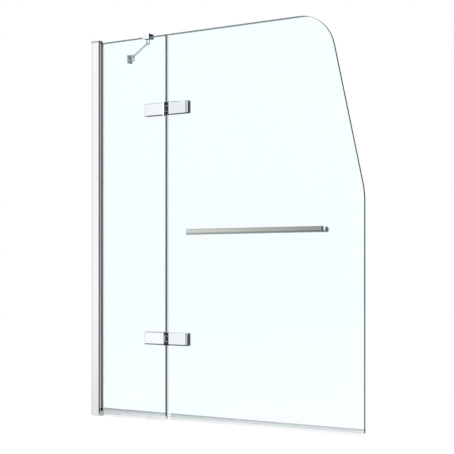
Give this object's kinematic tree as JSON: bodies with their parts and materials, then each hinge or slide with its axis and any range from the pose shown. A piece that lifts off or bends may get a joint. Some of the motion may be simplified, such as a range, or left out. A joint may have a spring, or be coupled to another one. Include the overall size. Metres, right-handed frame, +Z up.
{
  "type": "bath screen",
  "caption": "Hinged glass bath screen with wall channel, fixed pane, swinging pane with a sloped corner, towel bar and wall brace.",
  "frame": {"origin": "on the wall's face, at the middle of the glass's thickness, at the level of the tub's rim", "axes": "+X from the wall along the glass to its free edge, +Y from the bathroom side to the tub side, +Z up"},
  "size_m": [1.219, 0.2897, 1.4744],
  "materials": {
    "profile_aluminium": "bright anodised",
    "rubber_black": "matt",
    "grey_plastic": "satin",
    "clear_glass": "polished",
    "clear_vinyl": "clear, slightly hazy",
    "block_plastic": "moulded",
    "polished_chrome": "polished",
    "pad_rubber": "matt",
    "steel": "machined",
    "nylon": "moulded"
  },
  "bodies": {
    "fixed_side": {"wall_channel": "profile_aluminium", "glass_channel": "profile_aluminium", "glazing_gasket": "rubber_black", "channel_top_cap": "grey_plastic", "channel_foot_plug": "grey_plastic", "channel_lock_screws": "steel", "lock_screw_caps": "grey_plastic", "fixed_glass_panel": "clear_glass", "fixed_panel_bottom_seal": "clear_vinyl", "setting_blocks": "block_plastic", "upper_hinge_fixed_leaf": "polished_chrome", "upper_hinge_fixed_cover": "polished_chrome", "upper_hinge_fixed_pads": "pad_rubber", "lower_hinge_fixed_leaf": "polished_chrome", "lower_hinge_fixed_cover": "polished_chrome", "lower_hinge_fixed_pads": "pad_rubber", "upper_hinge_pin": "steel", "lower_hinge_pin": "steel", "hinge_fixed_leaf_screws": "steel", "hinge_pin_set_screws": "steel", "hinge_knuckle_washers": "nylon", "glass_clamp": "polished_chrome", "glass_clamp_liner": "pad_rubber", "glass_clamp_screws": "steel", "brace_pivot_screw": "steel"},
    "door": {"door_bottom_sweep": "clear_vinyl", "door_glass_panel": "clear_glass", "hinge_detent_plungers": "nylon", "hinge_detent_springs": "steel", "hinge_moving_leaf_screws": "steel", "hinge_preload_screws": "steel", "lower_hinge_moving_cover": "polished_chrome", "lower_hinge_moving_leaf": "polished_chrome", "lower_hinge_moving_pads": "pad_rubber", "seam_seal_bottom": "clear_vinyl", "seam_seal_middle": "clear_vinyl", "seam_seal_top": "clear_vinyl", "towel_bar": "polished_chrome", "towel_bar_bolts": "polished_chrome", "towel_bar_bushes": "nylon", "towel_bar_end_caps": "polished_chrome", "towel_bar_posts": "polished_chrome", "towel_bar_washers": "nylon", "upper_hinge_moving_cover": "polished_chrome", "upper_hinge_moving_leaf": "polished_chrome", "upper_hinge_moving_pads": "pad_rubber"},
    "arm": {"support_arm": "polished_chrome"},
    "foot": {"wall_foot": "polished_chrome", "wall_foot_pin": "steel"}
  },
  "joints": [
    {"name": "door_hinge", "type": "hinge", "parent": "fixed_side", "child": "door", "pos_m": [0.371, 0, 0.735], "axis": [0, 0, 1], "range_deg": [-90, 90]},
    {"name": "brace_swivel_at_glass", "type": "hinge", "parent": "fixed_side", "child": "arm", "pos_m": [0.2665, 0.013, 1.442], "axis": [0, 0, 1], "range_deg": [-30, 30]},
    {"name": "brace_swivel_at_wall", "type": "hinge", "parent": "arm", "child": "foot", "pos_m": [0.02, 0.2225, 1.442], "axis": [0, 0, 1], "range_deg": [-40, 40]}
  ]
}
